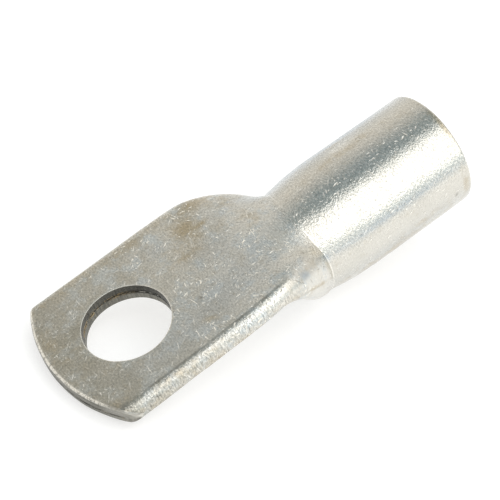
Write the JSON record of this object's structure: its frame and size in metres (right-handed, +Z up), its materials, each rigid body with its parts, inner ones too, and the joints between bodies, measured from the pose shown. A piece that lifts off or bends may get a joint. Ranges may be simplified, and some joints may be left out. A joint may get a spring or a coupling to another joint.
{
  "type": "ring terminal",
  "caption": "Tubular tin-plated copper ring terminal: a round cable barrel pressed flat into a two-layer palm with a stud hole and an arc-shaped tip.",
  "frame": {"origin": "centre of the stud hole, in the plane of the contact face", "axes": "+Z straight up from the table that the lug lies on, contact face up. +X along the lug in plan, from the palm's tip to the barrel's mouth. +Y across the palm. The palm rises 19.8 degrees from +X towards +Z, because the lug lies on the palm's tip and on the shoulder under the barrel, so the contact face's normal leans by as much from +Z towards -X. The barrel's axis rises 17.5 degrees."},
  "size_m": [0.0561, 0.0212, 0.0201],
  "materials": {
    "tinned_copper": "satin tin plating on copper, clouded, with fine scratches and brown stains"
  },
  "bodies": {
    "root": {"terminal_body": "tinned_copper"}
  },
  "joints": []
}
